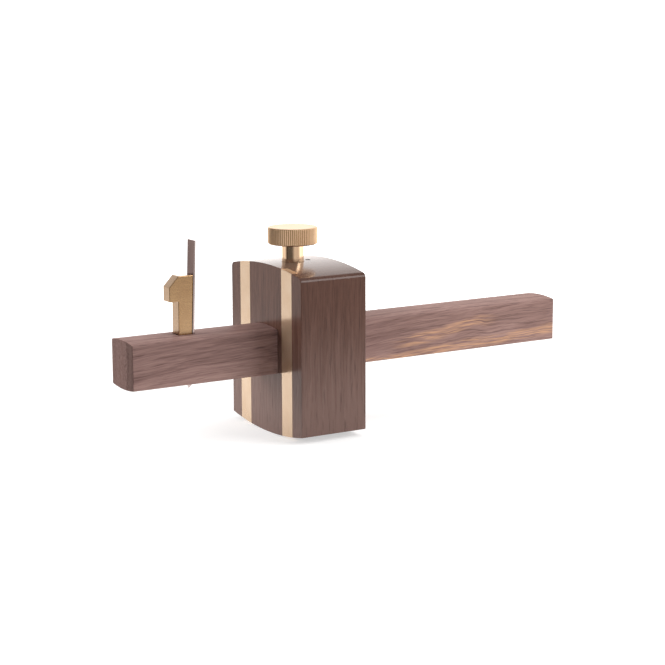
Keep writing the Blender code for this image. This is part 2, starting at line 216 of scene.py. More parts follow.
# Tan streaks, in millimetres: start and end along the stem, the height at each, and half the width
TAN_STREAKS = [(40, 120, 32.0, 36.0, 3.6), (26, 66, 37.5, 42.5, 3.0), (0, 40, 30.5, 32.5, 2.0)]
TAN_COLOUR = (0.60, 0.345, 0.215)
TAN_SHARE = 0.85
TAN_CORE = 0.35
TAN_FADE_OUTSIDE = 12
TAN_FADE_INSIDE = 6
DASH_RATES = (0.06, 1, 1.4)
DASH_SPAN = (0.40, 0.58)

# Brass. Pairs of tones and of roughnesses go with the low and the high values of a noise
STRIP_TONES = ((0.64, 0.463, 0.310), (0.705, 0.543, 0.392))
STRIP_ROUGHNESS = (0.12, 0.20)
STRIP_METALLIC = 0.70
SCREW_TONES = ((0.86, 0.590, 0.375), (0.93, 0.680, 0.465))
SCREW_ROUGHNESS = (0.08, 0.17)
WEDGE_TONES = ((0.384, 0.216, 0.086), (0.440, 0.264, 0.114))
WEDGE_ROUGHNESS = (0.20, 0.30)
WEDGE_LACQUER = 1.0
WEDGE_RELIEF = 0.1
BRASS_RELIEF = 0.3
BRASS_CLOUD_RATES = (0.12, 0.12, 0.12)
CLOUD_SHARE = 0.7
MARK_SHARE = 0.3
MARK_DEPTH = 0.02 * MM
LACQUER_ROUGHNESS = 0.15
LACQUER_IOR = 1.65
UPRIGHT_RATES = (3.0, 3.0, 0.05)
FILED_RATES = (0.25, 2.5, 2.5)
TURNED_RATE = 3.5
DULL_COLOUR = (0.46, 0.28, 0.13)
DULL_SHARE = 0.8
KNURL_START = 0.10  # millimetres inside the roots of the teeth
KNURL_FULL = 0.02
KNURL_ROUGHNESS = 0.34
TOP_SPAN = (0.90, 0.98)
TOP_ROUGHNESS = 0.40

# Blade steel
STEEL_TONES = ((0.136, 0.084, 0.074), (0.185, 0.120, 0.107))
# The blade's sides and point: ground steel, and a painted highlight as well
GROUND_STEEL_AND_HIGHLIGHT = (0.50, 0.41, 0.39)
STEEL_ROUGHNESS = (0.12, 0.22)
STEEL_RELIEF = 0.35
STEEL_MARK_RATES = (3.0, 0.15, 3.0)
STEEL_CLOUD_RATES = (0.2, 0.2, 0.1)
STEEL_SIDE_SPAN = (0.7, 0.9)
STEEL_POINT_SPAN = (3.0, 4.5)  # millimetres above the point

# Camera
CAMERA_AZIMUTH = math.radians(-31.449)
CAMERA_ELEVATION = math.radians(10.654)
CAMERA_ROLL = math.radians(-0.151)
CAMERA_DISTANCE = 0.767156
CAMERA_AIM = Vector((-0.007011, 0, 0.039971))
CAMERA_LENS = 94.65
CAMERA_SENSOR = 36.0
CAMERA_CLIP = 0.01

# Room. Spans are of a direction's height, or of how far it points to a side. ROOM_SHARES run from the
# camera's side, at 0, to the backdrop's, at 1
WHITE = (1, 1, 1)
WARM_WHITE = (1.0, 0.955, 0.93)
BACKDROP_SIDE = Vector((0.52, 0.85, 0.0))
DARK_SIDE = Vector((-0.909, -0.416, 0.0))
BRIGHT_SIDE = Vector((0.954, -0.300, 0.0))
ROOM_LEVEL = 1.65
ROOM_SHARES = [(0.00, 0.42), (0.25, 0.42), (0.50, 0.68), (0.75, 0.42), (1.00, 1.30)]
BEHIND_SPAN = (-0.3, 0.3)
DARK_SPAN = (0.55, 0.92)
DARK_SHARE = 0.16
BRIGHT_SPAN = (0.76, 0.96)
BRIGHT_SHARE = 1.9
CEILING_SPAN = (0.30, 0.60)
CEILING_SHARE = 0.30
FRONT_SPAN = (-0.08, 0.12)
FRONT_SHARE = 0.15
WHITE_SPAN = (0.0, 0.30)
WHITE_CEILING = 0.5

# Table
FLOOR_RADIUS = 0.40
FLOOR_FADE = 0.12
FLOOR_COLOUR = (0.90, 0.90, 0.90)
FLOOR_SEEN = (0.60, 0.60, 0.60)
FLOOR_GLOW = 0.54
FLOOR_MIRRORED_GLOW = 0.12
FLOOR_ROUGHNESS = 0.9


# Mesh helpers

def mesh_from(bm, name):
    bmesh.ops.recalc_face_normals(bm, faces=bm.faces)
    mesh = bpy.data.meshes.new(name)
    bm.to_mesh(mesh)
    bm.free()
    return mesh


def prism(name, outline, depth, turn):
    """A flat outline given an even depth, half to each side of its plane."""
    bm = bmesh.new()
    base = bm.faces.new([bm.verts.new((x, y, -depth / 2)) for x, y in outline])
    made = bmesh.ops.extrude_face_region(bm, geom=[base])["geom"]
    raised = [part for part in made if isinstance(part, bmesh.types.BMVert)]
    bmesh.ops.translate(bm, verts=raised, vec=(0, 0, depth))
    bm.transform(turn)
    return mesh_from(bm, name)


def lathe(name, profile, steps):
    """A profile of (radius, height) points turned about Z, closed where it meets the axis."""
    bm = bmesh.new()
    points = [bm.verts.new((radius, 0, height)) for radius, height in profile]
    edges = [bm.edges.new(pair) for pair in zip(points, points[1:])]
    bmesh.ops.spin(
        bm,
        geom=[*points, *edges],
        axis=(0, 0, 1),
        angle=math.tau,
        steps=steps,
        use_merge=True,
    )
    bmesh.ops.remove_doubles(bm, verts=bm.verts, dist=AXIS_WELD)
    return mesh_from(bm, name)


def place(mesh, x=0, y=0, z=0):
    mesh.transform(Matrix.Translation((x, y, z)))
    return mesh


def scratch(mesh):
    made = bpy.data.objects.new(mesh.name, mesh)
    bpy.context.scene.collection.objects.link(made)
    return made


def realised(made):
    """The evaluated mesh of a scratch object, which it removes."""
    graph = bpy.context.evaluated_depsgraph_get()
    mesh = bpy.data.meshes.new_from_object(made.evaluated_get(graph))
    bpy.data.objects.remove(made)
    return mesh


def combine(mesh, other, operation="DIFFERENCE"):
    """One exact Boolean of two closed meshes."""
    target = scratch(mesh)
    helper = scratch(other)
    modifier = target.modifiers.new(operation, "BOOLEAN")
    modifier.operation = operation
    modifier.object = helper
    modifier.solver = "EXACT"
    result = realised(target)
    bpy.data.objects.remove(helper)
    return result


def rounded(mesh, width_at):
    """Rounds the edges for which width_at(edge) gives a width."""
    bm = bmesh.new()
    bm.from_mesh(mesh)
    bm.normal_update()
    widths = [width_at(edge) for edge in bm.edges]
    widest = max(widths)
    weight = bm.edges.layers.float.new("bevel_weight_edge")
    for edge, width in zip(bm.edges, widths):
        edge[weight] = width / widest
    bm.to_mesh(mesh)
    bm.free()
    made = scratch(mesh)
    bevel = made.modifiers.new("Rounding", "BEVEL")
    bevel.limit_method = "WEIGHT"
    bevel.width = widest
    bevel.segments = EDGE_STEPS
    return realised(made)


def is_corner(edge):
    return edge.calc_face_angle(0) > SHARP


def at_corners(width):
    """The same width for every corner, as rounded() asks for it."""
    return lambda edge: width if is_corner(edge) else 0


def clean(mesh):
    """Takes out what a cut leaves: points that all but meet, and faces with no area."""
    bm = bmesh.new()
    bm.from_mesh(mesh)
    bmesh.ops.remove_doubles(bm, verts=bm.verts, dist=WELD)
    bmesh.ops.triangulate(bm, faces=[face for face in bm.faces if len(face.verts) > 4])
    bmesh.ops.dissolve_degenerate(bm, dist=WELD, edges=bm.edges)
    bm.to_mesh(mesh)
    bm.free()


def piece(name, mesh, material, body, node):
    """A finished mesh that stands for a CAD node, moves with a body and takes a slot's finish."""
    clean(mesh)
    made = bpy.data.objects.new(name, mesh)
    bpy.context.scene.collection.objects.link(made)
    mesh.materials.clear()
    mesh.materials.append(material)
    mesh.shade_smooth()
    mesh.set_sharp_from_angle(angle=SHARP)
    weighted = made.modifiers.new("Flat faces stay flat", "WEIGHTED_NORMAL")
    weighted.keep_sharp = True
    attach(made, body)
    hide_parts(node)


def paint(mesh, material, chosen):
    """A second material for the faces of a finished mesh for which chosen(face) is true."""
    mesh.materials.append(material)
    for face in mesh.polygons:
        if chosen(face):
            face.material_index = 1


# Shader helpers

def opaque(colour):
    """A plain colour with its alpha. A colour that comes from a node stays as it is."""
    return colour if isinstance(colour, bpy.types.NodeSocket) else (*colour, 1)


class Shader:
    """The node tree of a material or a world. Its calls add nodes and give their outputs."""

    def __init__(self, owner, surface="Principled BSDF"):
        owner.use_nodes = True
        self.owner = owner
        self.tree = owner.node_tree
        self.surface = self.tree.nodes[surface]

    def add(self, kind, inputs, output=0, **settings):
        node = self.tree.nodes.new(kind)
        for key, value in settings.items():
            setattr(node, key, value)
        self.fill(node, inputs)
        return node.outputs[output]

    def fill(self, node, inputs):
        for key, value in inputs.items():
            if isinstance(value, bpy.types.NodeSocket):
                self.tree.links.new(value, node.inputs[key])
            else:
                node.inputs[key].default_value = value

    def set(self, **inputs):
        """Values and links for the surface, named as its sockets are, with _ for a space."""
        self.fill(self.surface, {key.replace("_", " "): value for key, value in inputs.items()})

    def coordinate(self, kind):
        return self.add("ShaderNodeTexCoord", {}, kind)

    def millimetres(self):
        return self.vector("SCALE", self.coordinate("Object"), scale=1 / MM)

    def facing(self, axis):
        """How far the surface faces along an axis, from -1 to 1."""
        return self.split(self.coordinate("Normal"))["XYZ".index(axis)]

    def light_path(self):
        """Whether a ray comes from the camera, and whether it comes from a mirror or through glass."""
        path = self.tree.nodes.new("ShaderNodeLightPath").outputs
        return path["Is Camera Ray"], self.plus(path["Is Glossy Ray"], path["Is Transmission Ray"])

    def vector(self, operation, a, b=(0, 0, 0), scale=1.0, output=0):
        inputs = {0: a, 1: b, 3: scale}
        return self.add("ShaderNodeVectorMath", inputs, output, operation=operation)

    def stretch(self, vector, factors):
        return self.vector("MULTIPLY", vector, factors)

    def length(self, vector):
        return self.vector("LENGTH", vector, output="Value")

    def dot(self, vector, side):
        return self.vector("DOT_PRODUCT", vector, side, output="Value")

    def split(self, vector):
        return [self.add("ShaderNodeSeparateXYZ", {0: vector}, axis) for axis in range(3)]

    def join(self, x, y, z):
        return self.add("ShaderNodeCombineXYZ", {0: x, 1: y, 2: z})

    def math(self, operation, a, b=0.0):
        return self.add("ShaderNodeMath", {0: a, 1: b}, operation=operation)

    def times(self, a, b):
        return self.math("MULTIPLY", a, b)

    def plus(self, a, b):
        return self.math("ADD", a, b)

    def minus(self, a, b):
        return self.math("SUBTRACT", a, b)

    def most(self, a, b):
        return self.math("MAXIMUM", a, b)

    def absolute(self, value):
        return self.math("ABSOLUTE", value)

    def noise(self, vector, detail=2.0, roughness=0.5, output="Fac"):
        inputs = {"Vector": vector, "Scale": 1.0, "Detail": detail, "Roughness": roughness}
        return self.add("ShaderNodeTexNoise", inputs, output)

    def noise_line(self, value, detail=2.0, roughness=0.5):
        inputs = {"W": value, "Scale": 1.0, "Detail": detail, "Roughness": roughness}
        return self.add("ShaderNodeTexNoise", inputs, "Fac", noise_dimensions="1D")

    def span(self, value, low, high, to_low=0.0, to_high=1.0, smooth=False):
        inputs = {0: value, 1: low, 2: high, 3: to_low, 4: to_high}
        kind = "SMOOTHSTEP" if smooth else "LINEAR"
        return self.add("ShaderNodeMapRange", inputs, interpolation_type=kind)

    def spread(self, noise, to_low, to_high):
        """A noise's usual values, mapped to a range."""
        return self.span(noise, *NOISE_SPREAD, to_low, to_high)

    def blend(self, factor, a, b):
        inputs = {"Factor": factor, 6: opaque(a), 7: opaque(b)}
        return self.add("ShaderNodeMix", inputs, 2, data_type="RGBA")

    def ramp(self, factor, stops):
        node = self.tree.nodes.new("ShaderNodeValToRGB")
        elements = node.color_ramp.elements
        while len(elements) < len(stops):
            elements.new(1.0)
        for element, (position, colour) in zip(elements, stops):
            element.position = position
            element.color = opaque(colour)
        self.tree.links.new(factor, node.inputs[0])
        return node.outputs[0]

    def bump(self, height, distance, strength):
        inputs = {"Height": height, "Distance": distance, "Strength": strength}
        return self.add("ShaderNodeBump", inputs)


# Wood

def rosewood(name, order, pith, tones, pore_colour, coat, markings_and_painted_light=None, end_shade=END_SHADE, climb=0.0):
    """Rosewood with growth rings about a pith beside the piece, swaying fibres and dark pores.

    order lists the axes, along the grain first, and climb slopes the grain. coat is the polish's weight,
    roughness and IOR. markings_and_painted_light adds a piece's own markings and the painted light and shade
    that some pieces carry, and end_shade is how far its end grain goes to the pores' colour.
    """
    wood = Shader(bpy.data.materials.new(name))
    axes = dict(zip("XYZ", wood.split(wood.millimetres())))
    along, across, up = [axes[axis] for axis in order]
    grain = wood.join(along, across, wood.minus(up, wood.times(along, climb)))
    sway = wood.noise(wood.stretch(grain, SWAY_RATES), detail=2, output="Color")
    sway = wood.stretch(wood.vector("SUBTRACT", sway, NOISE_MIDDLE), SWAY_REACH)
    bent = wood.vector("ADD", grain, sway)
    from_pith = wood.stretch(wood.vector("SUBTRACT", bent, (0, *pith)), (0, 1, 1))
    rings = wood.noise_line(wood.times(wood.length(from_pith), RING_RATE), detail=3, roughness=0.6)
    fibre = wood.noise(wood.stretch(bent, FIBRE_RATES), detail=3, roughness=0.6)
    fine = wood.noise(wood.stretch(bent, FINE_RATES), detail=2, roughness=0.55)
    pores = wood.span(wood.noise(wood.stretch(grain, PORE_RATES), detail=1), *PORE_SPAN)
    tone = wood.plus(wood.times(rings, RING_SHARE), wood.times(fibre, FIBRE_SHARE))
    tone = wood.plus(tone, wood.times(fine, FINE_SHARE))
    colour = wood.ramp(tone, tones)
    if markings_and_painted_light:
        colour = markings_and_painted_light(wood, axes, colour, fibre)
    colour = wood.blend(wood.times(pores, PORE_SHARE), colour, pore_colour)
    end_grain = wood.span(wood.absolute(wood.facing(order[0])), *END_GRAIN_SPAN, smooth=True)
    colour = wood.blend(wood.times(end_grain, end_shade), colour, pore_colour)
    height = wood.minus(wood.times(fine, FINE_HEIGHT), pores)
    wood.set(
        Base_Color=colour,
        Roughness=wood.spread(fibre, *WOOD_ROUGHNESS),
        Normal=wood.bump(height, PORE_DEPTH, WOOD_RELIEF),
        Specular_IOR_Level=0.0,
        Coat_Weight=coat[0],
        Coat_Roughness=coat[1],
        Coat_IOR=coat[2],
    )
    return wood.owner


def tan_streaks(wood, axes, colour, fibre):
    """The stem's plain half is paler and warmer, partly its own wood and partly painted light, with smoky
    patches and broken tan streaks along its side.
    """
    x, y, z = axes["X"], axes["Y"], axes["Z"]
    wander = wood.noise(wood.stretch(wood.join(x, y, z), WANDER_RATES), detail=3)
    level = wood.plus(z, wood.times(wander, WANDER_REACH))
    strand = wood.join(x, y, level)
    broken = wood.span(wood.noise(wood.stretch(strand, DASH_RATES), detail=2), *DASH_SPAN)
    smoke = wood.span(wood.noise(wood.stretch(strand, SMOKE_RATES), detail=3), *SMOKE_SPAN)
    # Paler and warmer towards the right-hand end: partly the wood's own tone, partly painted light
    plain = wood.span(x, *PALE_AND_LIT_SPAN, smooth=True)
    colour = wood.blend(wood.times(plain, PALE_AND_LIT_SHARE), colour, PALE_AND_LIT_COLOUR)
    colour = wood.blend(wood.times(wood.times(smoke, plain), SMOKE_SHARE), colour, SMOKE_COLOUR)
    for start, end, low, high, width in TAN_STREAKS:
        middle = wood.span(x, start, end, low, high)
        offset = wood.absolute(wood.minus(level, middle))
        band = wood.span(offset, width * TAN_CORE, width, 1.0, 0.0, smooth=True)
        enter = wood.span(x, start - TAN_FADE_OUTSIDE, start + TAN_FADE_INSIDE, smooth=True)
        leave = wood.span(x, end - TAN_FADE_INSIDE, end + TAN_FADE_OUTSIDE, 1.0, 0.0, smooth=True)
        amount = wood.times(wood.times(band, enter), wood.times(broken, leave))
        colour = wood.blend(wood.times(amount, TAN_SHARE), colour, TAN_COLOUR)
    return colour


def painted_end_shade_front(wood, axes, colour, fibre):
    """Painted shade: the stem's end grain is darker near the side that faces the front."""
    across = wood.plus(axes["Y"], wood.spread(fibre, -PAINTED_END_SHADE_WAVER, PAINTED_END_SHADE_WAVER))
    return wood.blend(wood.span(across, *PAINTED_END_SHADE_SPAN, PAINTED_END_SHADE_SHARE, 0.0, smooth=True), colour, STEM_PORES)


def painted_table_bounce(wood, axes, colour, fibre):
    """Painted light from the table below: the stock's wood is paler towards its foot, in streaks along the
    grain.
    """
    height = wood.plus(axes["Z"], wood.spread(fibre, BOUNCE_WAVER, -BOUNCE_WAVER))
    return wood.blend(wood.span(height, *BOUNCE_SPAN, BOUNCE_SHARE, 0.0, smooth=True), colour, BOUNCE_COLOUR)


# Metal

def brass(name, lines, roughness, tones, metallic=1.0, grime=None, lacquer=0.0, relief=BRASS_RELIEF):
    """Bright brass. lines gives a coordinate across its finishing marks, and grime where it is dull."""
    metal = Shader(bpy.data.materials.new(name))
    point = metal.millimetres()
    marks = metal.noise(lines(metal, point), detail=3, roughness=0.65)
    cloud = metal.noise(metal.stretch(point, BRASS_CLOUD_RATES), detail=3)
    tint = metal.plus(metal.times(cloud, CLOUD_SHARE), metal.times(marks, MARK_SHARE))
    colour = metal.ramp(tint, list(zip(NOISE_SPREAD, tones)))
    finish = metal.spread(marks, *roughness)
    if grime:
        dull, worn = grime(metal, point)
        colour = metal.blend(dull, colour, DULL_COLOUR)
        finish = metal.most(finish, worn)
    metal.set(
        Base_Color=colour,
        Metallic=metallic,
        Roughness=finish,
        Normal=metal.bump(marks, MARK_DEPTH, relief),
        Coat_Weight=lacquer,
        Coat_Roughness=LACQUER_ROUGHNESS,
        Coat_IOR=LACQUER_IOR,
    )
    return metal.owner


def upright_marks(metal, point):
    return metal.stretch(point, UPRIGHT_RATES)


def filed_marks(metal, point):
    return metal.stretch(point, FILED_RATES)


def turned_marks(metal, point):
    """Rings about the screw's axis, on its sides and on its ends alike."""
    section = metal.join(screw_radius(metal, point), metal.split(point)[2], 0.0)
    return metal.vector("SCALE", section, scale=TURNED_RATE)


def screw_radius(metal, point):
    from_axis = metal.vector("SUBTRACT", point, (SCREW_X / MM, 0, 0))
    return metal.length(metal.stretch(from_axis, (1, 1, 0)))


def knurl_grime(metal, point):
    """Dull metal at the roots of the knurl's teeth, and the least roughness of the knurl and the top."""
    radius = screw_radius(metal, point)
    crest = HEAD_RADIUS / MM
    root = (HEAD_RADIUS - KNURL_DEPTH) / MM
    knurl = metal.span(radius, root - KNURL_START, root - KNURL_FULL)
    dull = metal.times(knurl, metal.span(radius, root, crest, DULL_SHARE, 0.0))
    top = metal.span(metal.facing("Z"), *TOP_SPAN, 0.0, TOP_ROUGHNESS)
    return dull, metal.most(metal.times(knurl, KNURL_ROUGHNESS), top)


def blade_steel():
    """Blade steel, browned by heat and handling on its faces, and paler at its sides and point: partly
    ground steel, partly a painted highlight.
    """
    metal = Shader(bpy.data.materials.new("blade_steel_ground_and_painted_highlight"))
    point = metal.millimetres()
    marks = metal.noise(metal.stretch(point, STEEL_MARK_RATES), detail=3, roughness=0.65)
    cloud = metal.noise(metal.stretch(point, STEEL_CLOUD_RATES), detail=3)
    browned = metal.ramp(cloud, list(zip(NOISE_SPREAD, STEEL_TONES)))
    # Ground steel and painted highlight: the sides and the last millimetres of the point take a paler colour
    sides = metal.span(metal.absolute(metal.facing("Y")), *STEEL_SIDE_SPAN)
    above_point = metal.minus(metal.split(point)[2], KNIFE_LOW.z / MM)
    ground = metal.most(sides, metal.span(above_point, *STEEL_POINT_SPAN, 1.0, 0.0))
    metal.set(
        Base_Color=metal.blend(ground, browned, GROUND_STEEL_AND_HIGHLIGHT),
        Metallic=1.0,
        Roughness=metal.spread(marks, *STEEL_ROUGHNESS),
        Normal=metal.bump(marks, MARK_DEPTH, STEEL_RELIEF),
    )
    return metal.owner


# Pieces of wood

def crowned_end(width, height, crown, fillet):
    """The upper half of a crowned outline, right to left: an arc that rises by crown, with round corners."""
    half = width / 2
    radius = (half**2 + crown**2) / (2 * crown)
    centre = height / 2 - radius
    inset = half - fillet
    sweep = math.asin(inset / (radius - fillet))
    corner = centre + (radius - fillet) * math.cos(sweep)
    angles = [sweep * (1 - 2 * i / CROWN_STEPS) for i in range(CROWN_STEPS + 1)]
    arc = [(radius * math.sin(a), centre + radius * math.cos(a)) for a in angles]
    if not fillet:
        return arc
    turns = [math.pi / 2 + (sweep - math.pi / 2) * i / FILLET_STEPS for i in range(FILLET_STEPS)]
    right = [(inset + fillet * math.sin(t), corner + fillet * math.cos(t)) for t in turns]
    return [*right, *arc, *[(-x, y) for x, y in reversed(right)]]


def crowned_outline(width, height, crown, top_fillet=0.0, foot_fillet=0.0):
    """Two flat upright sides, joined by arcs that rise by crown at the top and the bottom."""
    top = crowned_end(width, height, crown, top_fillet)
    foot = crowned_end(width, height, crown, foot_fillet)
    return top + [(-x, -y) for x, y in foot]


def stock_block(name):
    """The outside of the stock, rounded along the two upper edges that the hand bears on, else crisp."""
    outline = crowned_outline(STOCK_SIZE.y, STOCK_SIZE.z, STOCK_CROWN, STOCK_FILLET, STOCK_FOOT)
    mesh = place(prism(name, outline, STOCK_SIZE.x, ACROSS_STEM), STOCK_X, 0, STEM_Z)

    def width_at(edge):
        if not is_corner(edge):
            return 0
        return FENCE_EDGE if edge.verts[0].co.x < STOCK_X else BACK_EDGE

    return rounded(mesh, width_at)


def strip_bar(name, side, gap):
    """A bar in a strip's place, wider and deeper by a gap, that runs past the fence, top and foot."""
    depth = STRIP_HIGH.x - STRIP_LOW.x + gap + MARGIN
    width = STRIP_HIGH.y - STRIP_LOW.y + 2 * gap
    height = STOCK_HIGH.z + 2 * MARGIN
    half_x, half_y = depth / 2, width / 2
    outline = [(-half_x, -half_y), (half_x, -half_y), (half_x, half_y), (-half_x, half_y)]
    bar = prism(name, outline, height, Matrix.Identity(4))
    return place(bar, STRIP_HIGH.x + gap - half_x, side * STRIP_Y, STEM_Z)


def screw_hole():
    """Half the section of the screw's hole, with a chamfered mouth, and of the nut's pocket below it."""
    hole = SHANK_RADIUS + INLAY_GAP
    body = NUT_BODY_RADIUS + INLAY_GAP
    pocket = (NUT_HIGH.x - NUT_LOW.x) / 2 + INLAY_GAP
    return [
        (0, CUT_TOP),
        (hole + MOUTH_CHAMFER + MARGIN, CUT_TOP),
        (hole, STOCK_HIGH.z - MOUTH_CHAMFER),
        (hole, NUT_HIGH.z + INLAY_GAP),
        (body, NUT_HIGH.z + INLAY_GAP),
        (body, NUT_SHELF),
        (pocket, NUT_SHELF),
        (pocket, STEM_Z),
        (0, STEM_Z),
    ]


def pin_hole():
    """Half the section of the pin's hole, with a chamfered mouth, down to below the nut's shelf."""
    floor = NUT_SHELF - MARGIN / 2
    return [
        (0, CUT_TOP),
        (PIN_MOUTH + MARGIN, CUT_TOP),
        (PIN_HOLE, STOCK_HIGH.z - PIN_CHAMFER),
        (PIN_HOLE, floor),
        (0, floor),
    ]


def in_pin_hole(face):
    from_pin = Vector((face.center.x - PIN_X, face.center.y)).length
    return from_pin < PIN_MOUTH and face.center.z > NUT_SHELF and face.normal.z < END_LIMIT


def make_stock(material, shaded_hole_material):
    """The block with the stem's mortise, the strips' grooves, and holes for the screw, nut and pin."""
    mesh = stock_block("stock_wood")
    mouth = crowned_outline(STEM_SIZE.y + 2 * SLIDE_GAP, STEM_SIZE.z + 2 * SLIDE_GAP, STEM_CROWN)
    through = STOCK_HIGH.x - STOCK_LOW.x + 2 * MARGIN
    mesh = combine(mesh, place(prism("mortise", mouth, through, ACROSS_STEM), STOCK_X, 0, STEM_Z))
    for side in (FRONT, REAR):
        mesh = combine(mesh, strip_bar("groove", side, INLAY_GAP))
    mesh = combine(mesh, place(lathe("bore", screw_hole(), ROUND_STEPS), SCREW_X))
    mesh = combine(mesh, place(lathe("pin_hole", pin_hole(), PIN_STEPS), PIN_X))
    piece("stock_wood", mesh, material, "stock", "stock")
    # The walls of the pin's hole take near-black wood, which is painted shade
    paint(mesh, shaded_hole_material, in_pin_hole)


def lean_x(x, height):
    """How far along the stem a leaning face is, at a height above the middle of the stem."""
    return x + height * math.tan(KNIFE_LEAN)


def at_stem_end(face):
    return abs(face.normal.x) > END_LIMIT and abs(face.center.x) > STEM_HIGH.x - STEM_EDGE


def make_stem(material, end_material):
    """The crowned bar, with a mortise for the wedge and the knife whose one wall leans as the knife does."""
    outline = crowned_outline(STEM_SIZE.y, STEM_SIZE.z, STEM_CROWN, STEM_FILLET, STEM_FILLET)
    mesh = prism("stem_wood", outline, STEM_SIZE.x, ACROSS_STEM)
    mesh = place(rounded(mesh, at_corners(STEM_EDGE)), z=STEM_Z)
    reach = STEM_SIZE.z / 2 + MARGIN
    upright = WEDGE_LOW.x + WEDGE_NOSE - SLIDE_GAP
    leaning = upright + WEDGE_WAIST + KNIFE_THICKNESS + 3 * SLIDE_GAP
    mortise = [
        (upright, -reach),
        (lean_x(leaning, -reach), -reach),
        (lean_x(leaning, reach), reach),
        (upright, reach),
    ]
    width = WEDGE_WIDTH + 2 * SLIDE_GAP
    mesh = combine(mesh, place(prism("knife_mortise", mortise, width, ALONG_STEM), z=STEM_Z))
    piece("stem_wood", mesh, material, "stem", "stem")
    paint(mesh, end_material, at_stem_end)


# Pieces of metal

def make_strip(name, side, material, node):
    """A wear strip, trimmed flush with the outside of the stock."""
    mesh = combine(strip_bar(name, side, 0), stock_block("strip_ends"), "INTERSECT")
    piece(name, mesh, material, "stock", node)


def make_wedge(material):
    """A tapered brass key with a nose to pull it by."""
    foot = WEDGE_LOW.z - STEM_Z
    top = WEDGE_HIGH.z - STEM_Z
    head = top - WEDGE_HEAD
    waist = WEDGE_WAIST + WEDGE_FIT
    outline = [
        (0, foot),
        (lean_x(waist, foot), foot),
        (lean_x(waist, top), top),
        (WEDGE_CHAMFER_LENGTH - WEDGE_NOSE, top),
        (-WEDGE_NOSE, top - WEDGE_CHAMFER_HEIGHT),
        (-WEDGE_NOSE, head),
        (0, head),
    ]
    mesh = prism("wedge_brass", outline, WEDGE_WIDTH, ALONG_STEM)
    mesh = rounded(mesh, at_corners(WEDGE_EDGE))
    mesh = place(mesh, WEDGE_LOW.x + WEDGE_NOSE, 0, STEM_Z)
    piece("wedge_brass", mesh, material, "wedge", "wedge")


def make_knife(material):
    """A flat strip of steel with a spear point, ground on the face towards the stock."""
    half = (KNIFE_HIGH.y - KNIFE_LOW.y) / 2
    shoulder = half / math.tan(KNIFE_POINT / 2)
    outline = [(0, 0), (half, shoulder), (half, KNIFE_LENGTH), (-half, KNIFE_LENGTH), (-half, shoulder)]
    mesh = prism("knife_steel", outline, KNIFE_THICKNESS, ACROSS_STEM)
    mesh = rounded(mesh, at_corners(KNIFE_EDGE))
    bm = bmesh.new()
    bm.from_mesh(mesh)
    edge = Vector((-KNIFE_THICKNESS / 2 + KNIFE_LAND, 0, 0))
    for side in (FRONT, REAR):
        outwards = Vector((0, side * math.cos(KNIFE_POINT / 2), -math.sin(KNIFE_POINT / 2)))
        normal = outwards * math.cos(KNIFE_BEVEL) + Vector((math.sin(KNIFE_BEVEL), 0, 0))
        everything = [*bm.verts, *bm.edges, *bm.faces]
        bmesh.ops.bisect_plane(bm, geom=everything, plane_co=edge, plane_no=normal, clear_outer=True)
        bmesh.ops.holes_fill(bm, edges=[e for e in bm.edges if e.is_boundary])
    mesh = place(mesh_from(bm, "knife_steel"), z=KNIFE_LOW.z - STEM_Z)
    mesh.transform(Matrix.Rotation(KNIFE_LEAN, 4, "Y"))
    waist_x = WEDGE_LOW.x + WEDGE_NOSE + WEDGE_WAIST + SLIDE_GAP + KNIFE_THICKNESS / 2
    mesh = place(mesh, waist_x, 0, STEM_Z)
    piece("knife_steel", mesh, material, "knife", "knife")


def head_outline():
    """Half the head's section from the middle of its underside, round the rim, to the middle of its top."""
    top = SCREW_HIGH.z
    bottom = top - HEAD_HEIGHT
    shares = [i / CHAMFER_STEPS for i in range(CHAMFER_STEPS + 1)]
    lower = [(HEAD_RADIUS - HEAD_CHAMFER * (1 - s), bottom + HEAD_CHAMFER * s) for s in shares]
    upper = [(HEAD_RADIUS - RIM_CHAMFER * s, top - RIM_CHAMFER * (1 - s)) for s in shares]
    return [(SHANK_RADIUS / 2, bottom), *lower, *upper, (SHANK_RADIUS / 2, top)]


def knurled_head(name):
    """The head as rings that follow its section, drawn in where the knurl's teeth are cut."""
    bm = bmesh.new()
    count = KNURL_TEETH * TOOTH_STEPS
    rings = []
    for radius, height in head_outline():
        ring = []
        for step in range(count):
            angle = math.tau * step / count
            tooth = HEAD_RADIUS - KNURL_DEPTH * (1 - math.cos(KNURL_TEETH * angle)) / 2
            reach = min(radius, tooth)
            ring.append(bm.verts.new((reach * math.cos(angle), reach * math.sin(angle), height)))
        rings.append(ring)
    for lower, upper in zip(rings, rings[1:]):
        for step in range(count):
            after = (step + 1) % count
            bm.faces.new((lower[step], lower[after], upper[after], upper[step]))
    bm.faces.new(reversed(rings[0]))
    bm.faces.new(rings[-1])
    return mesh_from(bm, name)


def helix_ridge(name, bottom, top):
    """A right-hand thread's ridge: a four-sided tooth swept about Z between two heights."""
    flank = (THREAD_DEPTH + SLIDE_GAP) * math.tan(THREAD_FLANK)
    inner = SHANK_RADIUS - THREAD_DEPTH - SLIDE_GAP
    half = THREAD_CREST / 2
    corners = ((inner, -half - flank), (SHANK_RADIUS, -half), (SHANK_RADIUS, half), (inner, half + flank))
    bm = bmesh.new()
    low = bottom + half + flank
    tooth = bm.faces.new([bm.verts.new((radius, 0, low + height)) for radius, height in corners])
    steps = round((top - low) / THREAD_PITCH * THREAD_STEPS)
    bmesh.ops.spin(
        bm,
        geom=[*tooth.verts, *tooth.edges, tooth],
        axis=(0, 0, 1),
        dvec=(0, 0, THREAD_PITCH / THREAD_STEPS),
        angle=math.tau * steps / THREAD_STEPS,
        steps=steps,
    )
    turn = Matrix.Rotation(math.tau * low / THREAD_PITCH, 3, "Z")
    bmesh.ops.rotate(bm, verts=bm.verts, cent=(0, 0, 0), matrix=turn)
    return mesh_from(bm, name)


